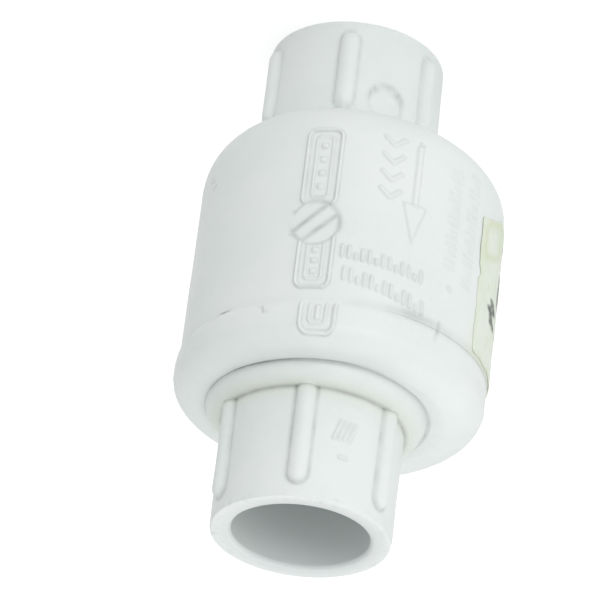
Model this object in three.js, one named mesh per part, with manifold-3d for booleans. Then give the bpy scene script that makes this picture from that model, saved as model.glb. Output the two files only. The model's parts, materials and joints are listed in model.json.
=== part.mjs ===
// A small white PVC swing check valve with a solvent-weld socket at each end.
// It stands on its inlet end: flow runs up +Z, and the flap hinges on the -X side.
// Millimetres. The origin is under the middle of the barrel, level with the inlet end face.
import * as THREE from 'three';
import { mergeVertices } from 'three/addons/utils/BufferGeometryUtils.js';
import Module from 'manifold-3d';

const wasm = await Module();
wasm.setup();

// ---- driving dimensions -------------------------------------------------------------------

const LENGTH = 85.6;          // inlet end face to outlet end face
const ROUND = 64;             // sides of the housing's turned shapes
const INNER_ROUND = 48;       // sides of the disc stack and its bearing
const SMALL_ROUND = 32;       // sides of a small turned shape
const PIN_ROUND = 24;         // sides of the hinge pin, the screw and their holes
const FIT = 0.05;             // radial gap between pieces that are clamped together
const CUT = 1;                // how far a cutter runs past the face that it cuts
const ROOTED = 0.5;           // how far an added feature starts inside the piece it stands on

// The pipe, the barrel and the cap's collar have three parallel axes in the plane Y = 0.
const PIPE_X = 1.9;
const BARREL_X = -0.25;
const COLLAR_X = 0.1;

// Sockets for 1/2 inch pipe (21.34 mm outside diameter)
const HUB_R = 14.0;           // socket hub at its open end
const HUB_ROOT_R = 14.28;     // and at its root
const HUB_EDGE = 0.25;        // bevel on the outer edge of the end face
const SOCKET_MOUTH_R = 10.77;
const SOCKET_END_R = 10.6;
const SOCKET_DEPTH = 17.5;
const SOCKET_LEAD = 0.45;     // bevel inside the mouth
const PORT_R = 8.0;           // waterway past the pipe stop

// Ribs along each hub
const RIB_COUNT = 6;
const RIB_R = 1.6;
const RIB_CENTRE_R = 13.8;
const RIB_FIRST_DEG = -83;    // the rib that is nearest to -Y
const RIB_END_GAP = 2.3;      // bare hub between a rib's tip and the end face
const RIB_DOME_GAP = 1.2;     // and between its other tip and the dome, at the inlet

// Valve body: inlet hub, dome and barrel
const DOME_Z0 = 17.7;
const DOME_Z1 = 27.5;
const DOME_POWER = 1.336;     // 1 is an ellipse, more is a flatter shoulder
const BARREL_R = 24.2;
const JOINT_Z = 57.0;         // the body's open end, where the outlet cap is welded on
const CHAMBER_R = 20.6;
const FLOOR_Z = 24.0;         // chamber floor that the seat insert lies on
const FLOOR_R = 18.5;
const FLOOR_CORNER_Z = 28.0;

// Outlet cap: collar, end face, shoulder ring and outlet hub
const COLLAR_R = 24.4;
const COLLAR_TOP_Z = 60.7;    // the rounded corner starts here
const CAP_FACE_Z = 64.45;
const CAP_FACE_R = 19.1;
const CAP_INSIDE_Z = 61.2;
const RING_R = 17.4;
const RING_LOW_Z = 63.45;
const RING_TOP_Z = 66.8;
const SPIGOT_Z = 52.0;
const SPIGOT_R = 20.05;
const SPIGOT_BORE_R = 17.6;

// Seat insert with its lip and the two hinge ears
const SEAT_FLANGE_R = 18.2;
const SEAT_FLANGE_T = 3.0;
const SEAT_LIP_R = 9.6;
const SEAT_BORE_R = 8.4;
const SEAT_LIP_Z = 28.0;
const EAR_T = 3.0;
const EAR_R = 3.0;
const EAR_INNER_Y = 4.65;
const O_RING_R = 12.5;        // centre line of the seat's O-ring
const O_RING_CORD_R = 0.78;
const O_GROOVE_W = 2.4;
const O_GROOVE_T = 1.65;

// Hinge
const HINGE_X = -13.1;
const HINGE_Z = 33.5;
const PIN_R = 1.25;
const PIN_HALF_LENGTH = 8.0;
const PIN_CLEARANCE = 0.05;

// Arm between the hinge and the disc
const ARM_Z0 = 32.6;
const ARM_T = 2.7;
const ARM_HALF_W = 3.2;
const EYE_R = 5.4;
const EYE_CLEARANCE = 0.06;
const KNUCKLE_R = 2.6;
const KNUCKLE_HALF_L = 4.5;
const HEEL_LENGTH = 6.55;     // meets the seat flange just past full opening
const HEEL_T = 2.4;

// Disc stack, from the seat upwards
const SEAL_Z0 = 28.1;         // 0.1 above the seat lip
const SEAL_T = 2.0;
const SEAL_R = 11.0;
const SEAL_HOLE_R = 3.5;
const DISC_R = 11.8;
const DISC_T = 2.4;
const SKIRT_Z0 = 28.7;        // the disc's rim comes down round the seal
const BOSS_R = 3.0;
const RETAINER_R = 6.2;
const RETAINER_T = 0.8;
const SCREW_R = 1.5;
const SCREW_HEAD_R = 2.8;
const SCREW_HEAD_T = 1.7;
const WASHER_R = 4.6;
const WASHER_T = 0.6;
const NUT_FLATS = 5.5;
const NUT_T = 2.2;
const SCREW_TIP = 0.6;        // thread showing past the nut
const SLOT_W = 0.7;
const SLOT_DEPTH = 0.6;
const EDGE = 0.3;             // small bevel on the disc and the screw
const DISC_EDGE = 0.6;        // bevel round the back of the disc
const PLAY = 0.1;             // end play of the disc stack in the arm's eye

// Paper label on the hinge side of the barrel
const LABEL_T = 0.15;
const LABEL_GAP = 0.05;
const LABEL_Z0 = 29.0;
const LABEL_Z1 = 55.5;
const LABEL_FROM_DEG = 147;   // measured from +X, anticlockwise seen from above
const LABEL_TO_DEG = 213;
const LABEL_STEPS = 22;

// Marks on the -Y side. Angles are measured like the label's.
// Raised flow arrow, pointing to the outlet
const ARROW_DEG = -112;
const ARROW_PROUD = 0.35;
const ARROW_Z0 = 27.0;
const ARROW_NECK_Z = 37.6;
const ARROW_TIP_Z = 44.0;
const ARROW_SHAFT_W = 0.9;
const ARROW_HEAD_W = 3.8;

// Raised rectangular frames: centre height, half height and angle
const FRAMES = [
  { z: 33.3, halfH: 6.8, deg: -76.2 },
  { z: 49.2, halfH: 5.5, deg: -77.2 },
];
const CAP_FRAME = { z: 60.0, halfH: 2.4, deg: -82 };
const FRAME_HALF_W = 2.65;
const FRAME_CORNER = 1.3;
const FRAME_LINE = 0.45;
const FRAME_PROUD = 0.4;

// Sunk round mould insert with a bar across it
const INSERT_DEG = -76;
const INSERT_Z = 43.3;
const INSERT_R = 3.85;
const INSERT_DEPTH = 0.5;
const INSERT_BAR_W = 2;
const INSERT_BAR_PROUD = 0.05;
const INSERT_BAR_DEG = 43;    // slope of the bar against the horizontal

// Sunk round gate mark on the inlet hub
const GATE_DEG = -111;
const GATE_Z = 14.1;
const GATE_R = 2.95;
const GATE_DEPTH = 0.34;

// ---- colours and finishes -----------------------------------------------------------------

const FINISH = {
  pvc: { color: 0xe4e8e7, roughness: 0.42, metalness: 0 },
  insidePvc: { color: 0xd9dddb, roughness: 0.45, metalness: 0 },
  steel: { color: 0xb9bcbe, roughness: 0.3, metalness: 1 },
  rubber: { color: 0x202122, roughness: 0.85, metalness: 0 },
  paper: { color: 0xe9e3b8, roughness: 0.8, metalness: 0 },
};

// ---- helpers ------------------------------------------------------------------------------

// Turns a closed three.js geometry into a solid, with its shared vertices merged.
function toSolid(geometry) {
  const bare = geometry.clone();
  bare.deleteAttribute('normal');
  bare.deleteAttribute('uv');
  const merged = mergeVertices(bare, 1e-4);
  const corners = merged.index.array;
  const kept = [];
  for (let i = 0; i < corners.length; i += 3) {
    const [a, b, c] = [corners[i], corners[i + 1], corners[i + 2]];
    if (a !== b && b !== c && c !== a) kept.push(a, b, c);
  }
  const position = merged.attributes.position;
  if (signedVolume(position, kept) < 0) kept.reverse();
  return new wasm.Manifold(new wasm.Mesh({
    numProp: 3,
    vertProperties: Float32Array.from(position.array),
    triVerts: Uint32Array.from(kept),
  }));
}

function signedVolume(position, corners) {
  const [a, b, c] = [new THREE.Vector3(), new THREE.Vector3(), new THREE.Vector3()];
  let sum = 0;
  for (let i = 0; i < corners.length; i += 3) {
    a.fromBufferAttribute(position, corners[i]);
    b.fromBufferAttribute(position, corners[i + 1]);
    c.fromBufferAttribute(position, corners[i + 2]);
    sum += a.dot(b.cross(c)) / 6;
  }
  return sum;
}

function toGeometry(solid) {
  const mesh = solid.getMesh();
  const points = new Float32Array(mesh.triVerts.length * 3);
  mesh.triVerts.forEach((vertex, i) => {
    for (let k = 0; k < 3; k += 1) {
      points[i * 3 + k] = mesh.vertProperties[vertex * mesh.numProp + k];
    }
  });
  const geometry = new THREE.BufferGeometry();
  geometry.setAttribute('position', new THREE.BufferAttribute(points, 3));
  geometry.computeVertexNormals();
  return geometry;
}

function part(name, solid, finish) {
  const mesh = new THREE.Mesh(toGeometry(solid), new THREE.MeshStandardMaterial(finish));
  mesh.name = name;
  return mesh;
}

// A profile of [radius, z] points turned about a vertical axis through x.
function turned(profile, x, sides = ROUND) {
  const points = profile.map(([r, z]) => new THREE.Vector2(r, z));
  const geometry = new THREE.LatheGeometry(points, sides);
  geometry.rotateX(Math.PI / 2);
  geometry.translate(x, 0, 0);
  return toSolid(geometry);
}

// A solid cylinder, and a ring, between two heights.
function rod(radius, z0, z1, x, sides = ROUND) {
  return turned([[0, z0], [radius, z0], [radius, z1], [0, z1]], x, sides);
}

function ring(inner, outer, z0, z1, x, sides = ROUND) {
  return turned([[inner, z0], [outer, z0], [outer, z1], [inner, z1], [inner, z0]], x, sides);
}

// A cylinder along Y at the hinge.
function crossRod(radius, halfLength, y = 0, sides = PIN_ROUND) {
  const geometry = new THREE.CylinderGeometry(radius, radius, halfLength * 2, sides);
  geometry.translate(HINGE_X, y, HINGE_Z);
  return toSolid(geometry);
}

function block(x0, x1, y0, y1, z0, z1) {
  const geometry = new THREE.BoxGeometry(x1 - x0, y1 - y0, z1 - z0);
  geometry.translate((x0 + x1) / 2, (y0 + y1) / 2, (z0 + z1) / 2);
  return toSolid(geometry);
}

function radians(degrees) {
  return degrees * Math.PI / 180;
}

// ---- shared hub details -------------------------------------------------------------------

// The half-round ribs of one hub, from the root height to a domed tip near the end face.
function hubRibs(rootZ, tipZ) {
  const length = Math.abs(tipZ - rootZ);
  const ribs = [];
  for (let i = 0; i < RIB_COUNT; i += 1) {
    const angle = radians(RIB_FIRST_DEG + i * 360 / RIB_COUNT);
    const geometry = new THREE.CapsuleGeometry(RIB_R, length - 2 * RIB_R, 3, 12);
    geometry.rotateX(Math.PI / 2);
    geometry.translate(
      PIPE_X + RIB_CENTRE_R * Math.cos(angle),
      RIB_CENTRE_R * Math.sin(angle),
      (rootZ + tipZ) / 2,
    );
    ribs.push(toSolid(geometry));
  }
  return ribs.reduce((all, rib) => all.add(rib));
}

// The socket, pipe stop and waterway from an end face inwards. direction is 1 for the inlet.
function waterway(endZ, direction, innerZ) {
  const at = (depth) => endZ + direction * depth;
  return turned([
    [0, at(-CUT)],
    [SOCKET_MOUTH_R + SOCKET_LEAD, at(-CUT)],
    [SOCKET_MOUTH_R + SOCKET_LEAD, at(0)],
    [SOCKET_MOUTH_R, at(SOCKET_LEAD)],
    [SOCKET_END_R, at(SOCKET_DEPTH)],
    [PORT_R, at(SOCKET_DEPTH)],
    [PORT_R, innerZ],
    [0, innerZ],
  ], PIPE_X);
}

// ---- housing ------------------------------------------------------------------------------

// Outline of the dome: a flattened quarter oval from the barrel down to the hub root. Its
// centre slides from the barrel's axis to the pipe's axis as it narrows.
function domeShell() {
  const steps = 10;
  const slices = [];
  for (let i = 0; i <= steps; i += 1) {
    const t = i / steps * Math.PI / 2;
    const width = Math.cos(t) ** DOME_POWER;
    slices.push({
      z: DOME_Z1 - (DOME_Z1 - DOME_Z0) * Math.sin(t),
      r: HUB_ROOT_R + (BARREL_R - HUB_ROOT_R) * width,
      x: PIPE_X + (BARREL_X - PIPE_X) * width,
    });
  }
  const profile = [[0, DOME_Z1], ...slices.map(({ r, z }) => [r, z]), [0, DOME_Z0]];
  const points = profile.map(([r, z]) => new THREE.Vector2(r, z));
  const geometry = new THREE.LatheGeometry(points, ROUND);
  geometry.rotateX(Math.PI / 2);
  const position = geometry.attributes.position;
  for (let i = 0; i < position.count; i += 1) {
    const z = position.getZ(i);
    const near = slices.reduce((a, b) => (Math.abs(b.z - z) < Math.abs(a.z - z) ? b : a));
    position.setX(i, position.getX(i) + near.x);
  }
  return toSolid(geometry);
}

// Extrudes an outline, drawn upright with its origin on the axis, out of a round side.
function raisedOnSide(shape, degrees, radius, axisX, proud, root = ROOTED) {
  const depth = root + proud;
  const geometry = new THREE.ExtrudeGeometry(shape, { depth, bevelEnabled: false, curveSegments: 3 });
  geometry.rotateX(Math.PI / 2);
  geometry.translate(0, root - radius, 0);
  geometry.rotateZ(radians(degrees + 90));
  geometry.translate(axisX, 0, 0);
  return toSolid(geometry);
}

// A round recess with a floor that follows the round side it is sunk in.
function roundRecess(z, markR, depth, degrees, radius, axisX) {
  const disc = new THREE.Shape();
  disc.absarc(0, z, markR, 0, Math.PI * 2);
  const geometry = new THREE.ExtrudeGeometry(disc, {
    depth: 2 * markR,
    bevelEnabled: false,
    curveSegments: 20,
  });
  geometry.rotateX(Math.PI / 2);
  geometry.translate(0, markR - radius, 0);
  geometry.rotateZ(radians(degrees + 90));
  geometry.translate(axisX, 0, 0);
  const skin = ring(radius - depth, radius + markR, z - 2 * markR, z + 2 * markR, axisX);
  return toSolid(geometry).intersect(skin);
}

function roundedBox(outline, halfW, z0, z1, corner) {
  outline.moveTo(corner - halfW, z0);
  outline.lineTo(halfW - corner, z0);
  outline.absarc(halfW - corner, z0 + corner, corner, -Math.PI / 2, 0);
  outline.lineTo(halfW, z1 - corner);
  outline.absarc(halfW - corner, z1 - corner, corner, 0, Math.PI / 2);
  outline.lineTo(corner - halfW, z1);
  outline.absarc(corner - halfW, z1 - corner, corner, Math.PI / 2, Math.PI);
  outline.lineTo(-halfW, z0 + corner);
  outline.absarc(corner - halfW, z0 + corner, corner, Math.PI, Math.PI * 1.5);
}

function raisedFrame({ z, halfH, deg }, radius, axisX) {
  const shape = new THREE.Shape();
  roundedBox(shape, FRAME_HALF_W, z - halfH, z + halfH, FRAME_CORNER);
  const hole = new THREE.Path();
  roundedBox(
    hole,
    FRAME_HALF_W - FRAME_LINE,
    z - halfH + FRAME_LINE,
    z + halfH - FRAME_LINE,
    FRAME_CORNER - FRAME_LINE,
  );
  shape.holes.push(hole);
  return raisedOnSide(shape, deg, radius, axisX, FRAME_PROUD);
}

// The bar starts under the recess floor and ends just above the barrel.
function insertBar() {
  const half = INSERT_BAR_W / 2;
  const reach = INSERT_R - half / 2;
  const middle = new THREE.Vector2(0, INSERT_Z);
  const corners = [[-reach, -half], [reach, -half], [reach, half], [-reach, half]].map(
    ([x, y]) => new THREE.Vector2(x, INSERT_Z + y).rotateAround(middle, radians(INSERT_BAR_DEG)),
  );
  const bar = new THREE.Shape(corners);
  const root = INSERT_DEPTH + ROOTED;
  return raisedOnSide(bar, INSERT_DEG, BARREL_R, BARREL_X, INSERT_BAR_PROUD, root);
}

function flowArrow() {
  const shape = new THREE.Shape();
  shape.moveTo(-ARROW_SHAFT_W / 2, ARROW_Z0);
  shape.lineTo(ARROW_SHAFT_W / 2, ARROW_Z0);
  shape.lineTo(ARROW_SHAFT_W / 2, ARROW_NECK_Z);
  shape.lineTo(ARROW_HEAD_W / 2, ARROW_NECK_Z);
  shape.lineTo(0, ARROW_TIP_Z);
  shape.lineTo(-ARROW_HEAD_W / 2, ARROW_NECK_Z);
  shape.lineTo(-ARROW_SHAFT_W / 2, ARROW_NECK_Z);
  shape.closePath();
  return raisedOnSide(shape, ARROW_DEG, BARREL_R, BARREL_X, ARROW_PROUD);
}

function valveBody() {
  const hub = turned([
    [0, 0],
    [HUB_R - HUB_EDGE, 0],
    [HUB_R, HUB_EDGE],
    [HUB_ROOT_R, DOME_Z0 + ROOTED],
    [0, DOME_Z0 + ROOTED],
  ], PIPE_X);
  const chamber = turned([
    [0, FLOOR_Z],
    [FLOOR_R, FLOOR_Z],
    [CHAMBER_R, FLOOR_CORNER_Z],
    [CHAMBER_R, JOINT_Z + CUT],
    [0, JOINT_Z + CUT],
  ], BARREL_X);
  const barrel = FRAMES.reduce(
    (side, frame) => side.add(raisedFrame(frame, BARREL_R, BARREL_X)),
    rod(BARREL_R, DOME_Z1, JOINT_Z, BARREL_X).add(domeShell()),
  );
  return hub
    .subtract(roundRecess(GATE_Z, GATE_R, GATE_DEPTH, GATE_DEG, HUB_R, PIPE_X))
    .add(hubRibs(DOME_Z0 - RIB_DOME_GAP, RIB_END_GAP))
    .add(barrel)
    .subtract(roundRecess(INSERT_Z, INSERT_R, INSERT_DEPTH, INSERT_DEG, BARREL_R, BARREL_X))
    .add(insertBar())
    .add(flowArrow())
    .subtract(chamber)
    .subtract(waterway(0, 1, FLOOR_Z + CUT));
}

function outletCap() {
  const cornerSteps = 7;
  const corner = [];
  for (let i = 0; i <= cornerSteps; i += 1) {
    const t = i / cornerSteps * Math.PI / 2;
    corner.push([
      CAP_FACE_R + (COLLAR_R - CAP_FACE_R) * Math.cos(t),
      COLLAR_TOP_Z + (CAP_FACE_Z - COLLAR_TOP_Z) * Math.sin(t),
    ]);
  }
  const collar = turned([[0, JOINT_Z], [COLLAR_R, JOINT_Z], ...corner, [0, CAP_FACE_Z]], COLLAR_X);
  const ringSteps = 6;
  const shoulder = [];
  for (let i = 0; i <= ringSteps; i += 1) {
    const t = i / ringSteps * Math.PI / 2;
    shoulder.push([
      HUB_ROOT_R + (RING_R - HUB_ROOT_R) * Math.cos(t),
      RING_LOW_Z + (RING_TOP_Z - RING_LOW_Z) * Math.sin(t),
    ]);
  }
  const hub = turned([
    [0, RING_LOW_Z],
    ...shoulder,
    [HUB_R, LENGTH - HUB_EDGE],
    [HUB_R - HUB_EDGE, LENGTH],
    [0, LENGTH],
  ], PIPE_X);
  const spigot = rod(SPIGOT_R, SPIGOT_Z, JOINT_Z, COLLAR_X);
  const hollow = rod(SPIGOT_BORE_R, SPIGOT_Z - CUT, CAP_INSIDE_Z, COLLAR_X);
  return collar
    .add(raisedFrame(CAP_FRAME, COLLAR_R, COLLAR_X))
    .add(spigot)
    .add(hub)
    .add(hubRibs(RING_TOP_Z - RIB_R, LENGTH - RIB_END_GAP))
    .subtract(hollow)
    .subtract(waterway(LENGTH, -1, CAP_INSIDE_Z - CUT));
}

// ---- seat and hinge -----------------------------------------------------------------------

function seatInsert() {
  const flangeTop = FLOOR_Z + SEAT_FLANGE_T;
  const groove = ring(
    O_RING_R - O_GROOVE_W / 2,
    O_RING_R + O_GROOVE_W / 2,
    FLOOR_Z - CUT,
    FLOOR_Z + O_GROOVE_T,
    PIPE_X,
  );
  let insert = rod(SEAT_FLANGE_R, FLOOR_Z, flangeTop, BARREL_X)
    .add(rod(SEAT_LIP_R, flangeTop - ROOTED, SEAT_LIP_Z, PIPE_X));
  for (const side of [-1, 1]) {
    const middle = side * (EAR_INNER_Y + EAR_T / 2);
    insert = insert
      .add(block(
        HINGE_X - EAR_R,
        HINGE_X + EAR_R,
        middle - EAR_T / 2,
        middle + EAR_T / 2,
        flangeTop - ROOTED,
        HINGE_Z,
      ))
      .add(crossRod(EAR_R, EAR_T / 2, middle, SMALL_ROUND));
  }
  return insert
    .subtract(rod(SEAT_BORE_R, FLOOR_Z - CUT, SEAT_LIP_Z + CUT, PIPE_X))
    .subtract(groove)
    .subtract(crossRod(PIN_R + PIN_CLEARANCE, PIN_HALF_LENGTH + CUT));
}

function seatORing() {
  const geometry = new THREE.TorusGeometry(O_RING_R, O_RING_CORD_R, 8, 40);
  geometry.translate(PIPE_X, 0, FLOOR_Z + O_GROOVE_T / 2);
  return toSolid(geometry);
}

function hingeArm() {
  const eye = rod(EYE_R, ARM_Z0, ARM_Z0 + ARM_T, PIPE_X, INNER_ROUND);
  const web = block(HINGE_X, PIPE_X, -ARM_HALF_W, ARM_HALF_W, ARM_Z0, ARM_Z0 + ARM_T);
  const heel = block(
    HINGE_X - HEEL_LENGTH,
    HINGE_X,
    -ARM_HALF_W,
    ARM_HALF_W,
    HINGE_Z,
    HINGE_Z + HEEL_T,
  );
  const boreR = BOSS_R + EYE_CLEARANCE;
  const bearing = rod(boreR, ARM_Z0 - CUT, ARM_Z0 + ARM_T + CUT, PIPE_X, INNER_ROUND);
  return eye
    .add(web)
    .add(heel)
    .add(crossRod(KNUCKLE_R, KNUCKLE_HALF_L, 0, SMALL_ROUND))
    .subtract(crossRod(PIN_R + PIN_CLEARANCE, PIN_HALF_LENGTH))
    .subtract(bearing);
}

// ---- disc stack ---------------------------------------------------------------------------

const DISC_Z0 = SEAL_Z0 + SEAL_T;
const DISC_Z1 = DISC_Z0 + DISC_T;
const BOSS_Z1 = ARM_Z0 + ARM_T + PLAY;
const NUT_Z0 = BOSS_Z1 + WASHER_T;
const SCREW_Z0 = SEAL_Z0 - 0.2;

function flapperDisc() {
  const plate = turned([
    [0, DISC_Z0],
    [SEAL_R + FIT, DISC_Z0],
    [SEAL_R + FIT, SKIRT_Z0],
    [DISC_R - EDGE, SKIRT_Z0],
    [DISC_R, SKIRT_Z0 + EDGE],
    [DISC_R, DISC_Z1 - DISC_EDGE],
    [DISC_R - DISC_EDGE, DISC_Z1],
    [0, DISC_Z1],
  ], PIPE_X, INNER_ROUND);
  const boss = rod(BOSS_R, DISC_Z1 - ROOTED, BOSS_Z1, PIPE_X, INNER_ROUND);
  const hole = rod(SCREW_R + FIT, DISC_Z0 - CUT, BOSS_Z1 + CUT, PIPE_X, PIN_ROUND);
  return plate.add(boss).subtract(hole);
}

function discSeal() {
  const recess = rod(RETAINER_R + FIT, SEAL_Z0 - CUT, SEAL_Z0 + RETAINER_T, PIPE_X, INNER_ROUND);
  return ring(SEAL_HOLE_R, SEAL_R, SEAL_Z0, SEAL_Z0 + SEAL_T, PIPE_X, INNER_ROUND)
    .subtract(recess);
}

// Plate that clamps the seal, with a short sleeve through the seal's hole up to the disc.
function sealRetainer() {
  const sleeveR = SEAL_HOLE_R - FIT;
  const sleeve = rod(sleeveR, SEAL_Z0, DISC_Z0, PIPE_X, SMALL_ROUND);
  const head = rod(SCREW_HEAD_R + FIT, SEAL_Z0 - CUT, SCREW_Z0 + SCREW_HEAD_T, PIPE_X, SMALL_ROUND);
  return rod(RETAINER_R, SEAL_Z0, SEAL_Z0 + RETAINER_T, PIPE_X, INNER_ROUND)
    .add(sleeve)
    .subtract(rod(SCREW_R + FIT, SEAL_Z0 - CUT, DISC_Z0 + CUT, PIPE_X, PIN_ROUND))
    .subtract(head);
}

function discScrew() {
  const tip = NUT_Z0 + NUT_T + SCREW_TIP;
  const slot = block(
    PIPE_X - SCREW_HEAD_R,
    PIPE_X + SCREW_HEAD_R,
    -SLOT_W / 2,
    SLOT_W / 2,
    SCREW_Z0 - CUT,
    SCREW_Z0 + SLOT_DEPTH,
  );
  return turned([
    [0, SCREW_Z0],
    [SCREW_HEAD_R - EDGE, SCREW_Z0],
    [SCREW_HEAD_R, SCREW_Z0 + EDGE],
    [SCREW_HEAD_R, SCREW_Z0 + SCREW_HEAD_T],
    [SCREW_R, SCREW_Z0 + SCREW_HEAD_T],
    [SCREW_R, tip - EDGE],
    [SCREW_R - EDGE, tip],
    [0, tip],
  ], PIPE_X, PIN_ROUND).subtract(slot);
}

function discWasher() {
  return ring(SCREW_R + FIT, WASHER_R, BOSS_Z1, BOSS_Z1 + WASHER_T, PIPE_X, SMALL_ROUND);
}

function discNut() {
  const cornerR = NUT_FLATS / 2 / Math.cos(Math.PI / 6);
  return rod(cornerR, NUT_Z0, NUT_Z0 + NUT_T, PIPE_X, 6)
    .subtract(rod(SCREW_R + FIT, NUT_Z0 - CUT, NUT_Z0 + NUT_T + CUT, PIPE_X, PIN_ROUND));
}

// ---- label --------------------------------------------------------------------------------

function paperLabel() {
  const inner = BARREL_R + LABEL_GAP;
  const outer = inner + LABEL_T;
  const shape = new THREE.Shape();
  const [from, to] = [radians(LABEL_FROM_DEG), radians(LABEL_TO_DEG)];
  shape.absarc(0, 0, outer, from, to, false);
  shape.absarc(0, 0, inner, to, from, true);
  shape.closePath();
  const geometry = new THREE.ExtrudeGeometry(shape, {
    depth: LABEL_Z1 - LABEL_Z0,
    bevelEnabled: false,
    curveSegments: LABEL_STEPS,
  });
  geometry.translate(BARREL_X, 0, LABEL_Z0);
  return toSolid(geometry);
}

// ---- the valve ----------------------------------------------------------------------------

const valve = new THREE.Group();
valve.name = 'check_valve';

const housing = new THREE.Group();
housing.add(part('valve_body', valveBody(), FINISH.pvc));
housing.add(part('outlet_cap', outletCap(), FINISH.pvc));
housing.add(part('seat_insert', seatInsert(), FINISH.insidePvc));
housing.add(part('seat_o_ring', seatORing(), FINISH.rubber));
housing.add(part('hinge_pin', crossRod(PIN_R, PIN_HALF_LENGTH), FINISH.steel));
housing.add(part('paper_label', paperLabel(), FINISH.paper));

const arm = new THREE.Group();
arm.add(part('hinge_arm', hingeArm(), FINISH.insidePvc));

const flapper = new THREE.Group();
flapper.add(part('flapper_disc', flapperDisc(), FINISH.insidePvc));
flapper.add(part('disc_seal', discSeal(), FINISH.rubber));
flapper.add(part('seal_retainer', sealRetainer(), FINISH.steel));
flapper.add(part('disc_screw', discScrew(), FINISH.steel));
flapper.add(part('disc_washer', discWasher(), FINISH.steel));
flapper.add(part('disc_nut', discNut(), FINISH.steel));

valve.add(housing, arm, flapper);

export default valve;
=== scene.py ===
import json
import math

import bmesh
import bpy
import numpy as np
from mathutils import Matrix, Vector


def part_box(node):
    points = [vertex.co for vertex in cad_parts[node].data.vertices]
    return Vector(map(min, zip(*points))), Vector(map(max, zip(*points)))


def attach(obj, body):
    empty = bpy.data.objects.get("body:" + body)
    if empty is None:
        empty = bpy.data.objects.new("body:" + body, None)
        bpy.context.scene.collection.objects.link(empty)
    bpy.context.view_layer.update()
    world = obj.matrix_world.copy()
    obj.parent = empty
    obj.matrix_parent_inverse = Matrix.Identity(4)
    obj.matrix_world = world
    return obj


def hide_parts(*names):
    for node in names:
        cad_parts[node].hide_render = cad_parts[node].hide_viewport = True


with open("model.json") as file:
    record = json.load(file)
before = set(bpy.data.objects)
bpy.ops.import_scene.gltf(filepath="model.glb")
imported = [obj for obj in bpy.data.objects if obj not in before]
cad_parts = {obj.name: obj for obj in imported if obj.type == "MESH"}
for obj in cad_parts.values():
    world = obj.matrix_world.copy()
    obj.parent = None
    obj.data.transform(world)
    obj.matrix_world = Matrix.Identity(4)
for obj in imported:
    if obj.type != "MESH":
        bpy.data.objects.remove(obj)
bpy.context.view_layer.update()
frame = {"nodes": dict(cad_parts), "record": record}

# Lengths in this script are millimetres, and meshes are scaled to metres as they are made.
# Angles round the valve are degrees from -Y, positive towards -X, the hinge side.
MM = 0.001


def box_mm(node):
    """Low and high corners of a CAD part's box."""
    low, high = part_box(node)
    return np.array(low) / MM, np.array(high) / MM


# ---- places taken from the frame ------------------------------------------------------------

BODY_LOW, BODY_HIGH = box_mm("valve_body")
CAP_LOW, CAP_HIGH = box_mm("outlet_cap")
MOUNTS = {m["name"]: np.array(m["pos_m"]) / MM for m in frame["record"]["mounts"]}
PIPE_X = MOUNTS["inlet_end_face"][0]
STOP_DEPTH = MOUNTS["inlet_pipe_stop"][2]
LENGTH = CAP_HIGH[2]
JOINT_Z = BODY_HIGH[2]
SPIGOT_Z = CAP_LOW[2]
BARREL_X = (BODY_LOW[0] + BODY_HIGH[0]) / 2
BARREL_R = BODY_HIGH[1]
COLLAR_X = (CAP_LOW[0] + CAP_HIGH[0]) / 2
COLLAR_R = CAP_HIGH[1]

# ---- sizes of the housing's skin ------------------------------------------------------------

HUB_R = 14.0
HUB_ROOT_R = 14.28
SOCKET_MOUTH_R = 10.77
SOCKET_END_R = 10.6
MOUTH_BEVEL = 0.5
RIM_EASE = 0.35
PORT_R = 8.0
DOME_Z0 = 17.7
DOME_Z1 = 27.5
DOME_POWER = 1.336
CHAMBER_R = 20.6
FLOOR_R = 18.5
FLOOR_Z = 24.0
FLOOR_CORNER_Z = 28.0
JOINT_EASE = 0.015
COLLAR_BLEND_Z = 58.3
COLLAR_TOP_Z = 60.7
CAP_FACE_Z = 64.2
CAP_FACE_R = 19.1
CAP_INSIDE_Z = 61.2
RING_R = 17.4
RING_LOW_Z = 63.5
VALLEY_R = 17.75
VALLEY_Z = 63.35
RING_TOP_Z = 66.8
SPIGOT_R = 20.05
SPIGOT_BORE_R = 17.6

RIB_R = 1.6
RIB_CENTRE_R = 13.8
RIB_ANGLES = [-7 + 60 * i for i in range(-2, 4)]
RIB_TIP_GAP = 2.3
RIB_ROOT_GAP = 1.2
RIB_FILLET = 0.16

# Marks near the joint and on the hubs.
NOTCH_DEG = 38
NOTCH_Z = 57.3
GATE_DEG = 21
GATE_Z = 14.1
GATE_R = 2.95
GATE_DEPTH = 0.45
STROKES_DEG = 20
STROKES_BELOW = 12.2
STROKES_PROUD = 0.18


# ---- profiles and grids ---------------------------------------------------------------------

def eased(points, steps=4):
    """A closed profile with its corners rounded.

    A point is (radius, z, axis x, corner size, skin), where skin is 1 on the outside surface.
    """
    out = []
    count = len(points)
    for i, (r, z, x, ease, skin) in enumerate(points):
        here = np.array([r, z, x, skin], float)
        if ease <= 0:
            out.append(here)
            continue
        before = np.array([*points[i - 1][:3], points[i - 1][4]], float)
        after = np.array([*points[(i + 1) % count][:3], points[(i + 1) % count][4]], float)
        start = here + (before - here) * min(0.49, ease / np.hypot(*(before - here)[:2]))
        end = here + (after - here) * min(0.49, ease / np.hypot(*(after - here)[:2]))
        start[3] = end[3] = skin
        for k in range(steps + 1):
            t = k / steps
            out.append(start * (1 - t) ** 2 + here * 2 * t * (1 - t) + end * t ** 2)
    return np.array(out)


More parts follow.
